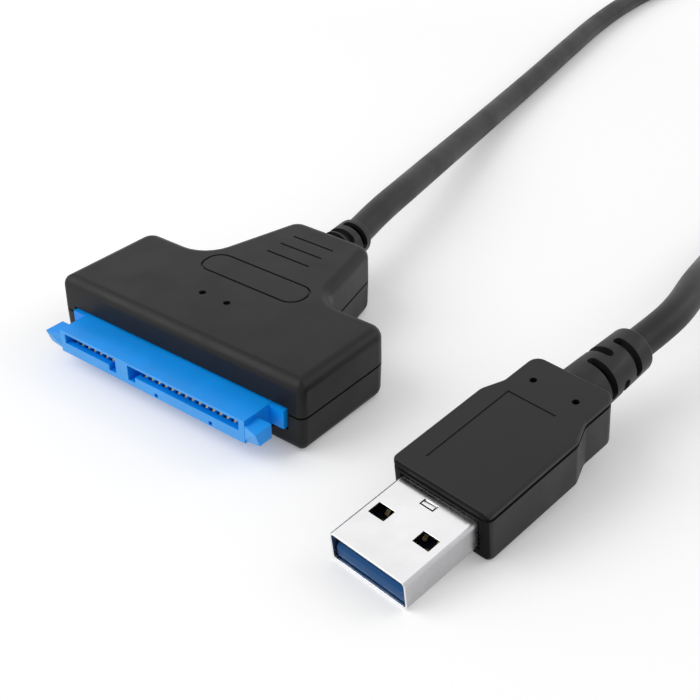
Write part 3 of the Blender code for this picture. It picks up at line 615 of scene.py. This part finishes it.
def addPlugShell(look):
    # a block with rounded long edges, opened at both ends and given the sheet's thickness inwards
    width, height, length, sheet = look["width"], look["height"], look["length"], look["sheet"]
    shell = addBlock((width, length, height), (0, length / 2, height / 2))
    shell.name = shell.data.name = "plug_shell_folded"
    ends = [corner.co.y for corner in shell.data.vertices]
    pick(shell, "EDGE", lambda edge: abs(ends[edge.vertices[0]] - ends[edge.vertices[1]]) > length / 2)
    bpy.ops.mesh.bevel(offset=look["corner"], segments=look["cornerSteps"], affect="EDGES")
    pick(shell, "FACE", lambda face: abs(face.normal.y) > shaping["endFacing"])
    bpy.ops.mesh.delete(type="FACE")
    applyStep(shell, "SOLIDIFY", thickness=sheet, offset=-1, use_even_offset=True)
    combine(shell, joinAll(shellCutters(look)), "DIFFERENCE")
    shell.matrix_world = plugPlace.copy()
    applyPlace(shell)
    easeEdges(shell, plug["shellEdge"])
    return shell


def shellCutters(look):
    # two windows above and two below, a tab cut on three sides and grooved on the fourth, a seam underneath
    height, slit = look["height"], look["slit"]
    through, shallow = 4 * look["sheet"], 2 * look["groove"]
    tabWidth, tabLength, tabBehind = look["tabWidth"], look["tabLength"], look["tabBehind"]
    windowSize = (look["windowWidth"], look["windowLength"], through)
    windowMiddle = look["windowBehind"] + look["windowLength"] / 2
    cutters = []
    for side in (-1, 1):
        windowAcross = side * (look["windowOffset"] + look["windowWidth"] / 2)
        for level in (0, height):
            cutters.append(addBlock(windowSize, (windowAcross, windowMiddle, level)))
        slitAcross = side * (tabWidth - slit) / 2
        cutters.append(addBlock((slit, tabLength, through), (slitAcross, tabBehind + tabLength / 2, height)))
    cutters.append(addBlock((tabWidth, slit, through), (0, tabBehind + slit / 2, height)))
    cutters.append(addBlock((tabWidth - slit, slit, shallow), (0, tabBehind + tabLength - slit / 2, height)))
    cutters.append(addBlock((look["seam"], 3 * look["length"], shallow), (0, 0, 0)))
    return cutters


def addPlugTongue(look):
    tongue = mergedCopy("plug_tongue", "plug_tongue_eased")
    # split at the line where the tongue's painted shade begins
    cutAcross(tongue, plugPlace @ Vector((0, look["tongueShadeBehind"], 0)), plugAlong)
    makeActive(tongue)
    bpy.ops.object.shade_flat()
    return tongue


plugMoulding = addPlugMoulding(plug)
plugRelief = addPlugRelief(plug)
plugShell = addPlugShell(foldedShell)
plugTongue = addPlugTongue(plug)
finishPiece(plugMoulding, materials["plugPlastic"], "jacket", "plug_moulding")
finishPiece(plugRelief, materials["plugPlastic"], "jacket", "plug_moulding")
# the moulding's faces that face forward take the near-black plastic: painted shade
addSecondMaterial(plugMoulding, materials["plugFrontPaintedShade"],
                  lambda face: face.normal.dot(plugAlong) < -plug["frontFacing"])
finishPiece(plugShell, materials["platedShell"], "shell_metal", "plug_shell")
finishPiece(plugTongue, materials["tonguePlastic"], "tongue_blue", "plug_tongue")
# the shell's side faces take the darker plating: painted shade
addSecondMaterial(plugShell, materials["shellSidePaintedShade"],
                  lambda face: abs(face.normal.dot(plugAcross)) > plug["sideFacing"])
# tongue faces deeper than this take the near-black navy: painted shade
tongueShade = (plugPlace @ Vector((0, plug["tongueShadeBehind"], 0))).dot(plugAlong)
addSecondMaterial(plugTongue, materials["tongueInsidePaintedShade"],
                  lambda face: face.center.dot(plugAlong) > tongueShade)
print("plug made")

plugPieces = [plugMoulding, plugRelief, plugShell, plugTongue]
plugPieces += [nodes[f"plug_contact_{number + 1}"] for number in range(plug["contacts"])]


# Floor, backdrop and light
stage = {
    "floorSize": 12.0,
    "floorColour": 0.88,
    "floorRoughness": 0.9,
    "floorSpecular": 0.1,
    "floorGlow": (0.2, 0.8),    # near and far, only as the camera sees it: white, with the shadow kept
    "glowReach": (0.15, 1.2),
    "skyLight": 0.55,
}
lamps = {
    "keyLamp": {"place": (-0.46, -0.48, 0.58), "size": 0.75, "power": 4.4},
    "rimLamp": {"place": (0.48, 0.58, 0.46), "size": 0.45, "power": 1.1},
}


def seenByEye(tree):
    # 1 for what the camera, a glossy surface or glass sees, 0 for plain light
    path = addNode(tree, "ShaderNodeLightPath")
    seen = path.outputs["Is Camera Ray"]
    for name in ("Is Glossy Ray", "Is Transmission Ray"):
        both = addNode(tree, "ShaderNodeMath", operation="ADD", use_clamp=True)
        tree.links.new(seen, both.inputs[0])
        tree.links.new(path.outputs[name], both.inputs[1])
        seen = both.outputs[0]
    return seen


def addFloor(look):
    bpy.ops.mesh.primitive_plane_add(size=look["floorSize"], location=(0, 0, 0))
    floor = bpy.context.object
    floor.name = "paleFloor"
    material = bpy.data.materials.new("paleFloor")
    material.use_nodes = True
    tree = material.node_tree
    shader = tree.nodes["Principled BSDF"]
    shader.inputs["Base Color"].default_value = (*[look["floorColour"]] * 3, 1)
    shader.inputs["Roughness"].default_value = look["floorRoughness"]
    shader.inputs["Specular IOR Level"].default_value = look["floorSpecular"]
    shader.inputs["Emission Color"].default_value = (1, 1, 1, 1)
    place = addNode(tree, "ShaderNodeTexCoord").outputs["Object"]
    reach = addNode(tree, "ShaderNodeVectorMath", {"Vector": place}, operation="LENGTH").outputs["Value"]
    glow = addNode(tree, "ShaderNodeMath", operation="MULTIPLY")
    tree.links.new(seenByEye(tree), glow.inputs[0])
    tree.links.new(spreadValue(tree, reach, look["glowReach"], look["floorGlow"]), glow.inputs[1])
    tree.links.new(glow.outputs[0], shader.inputs["Emission Strength"])
    floor.data.materials.append(material)


def addWorld(look):
    world = bpy.data.worlds.new("softStudio")
    bpy.context.scene.world = world
    world.use_nodes = True
    tree = world.node_tree
    background = tree.nodes["Background"]
    background.inputs["Color"].default_value = (1, 1, 1, 1)
    level = spreadValue(tree, seenByEye(tree), (0, 1), (look["skyLight"], 1))
    tree.links.new(level, background.inputs["Strength"])


def addLamp(name, look):
    lampData = bpy.data.lights.new(name, "AREA")
    lampData.size = look["size"]
    lampData.energy = look["power"]
    lamp = bpy.data.objects.new(name, lampData)
    bpy.context.scene.collection.objects.link(lamp)
    lamp.location = look["place"]
    lamp.rotation_euler = (-Vector(look["place"])).to_track_quat("-Z", "Y").to_euler()


addFloor(stage)
addWorld(stage)
for name, look in lamps.items():
    addLamp(name, look)
bpy.context.scene.view_settings.view_transform = "Standard"
print("stage lit")
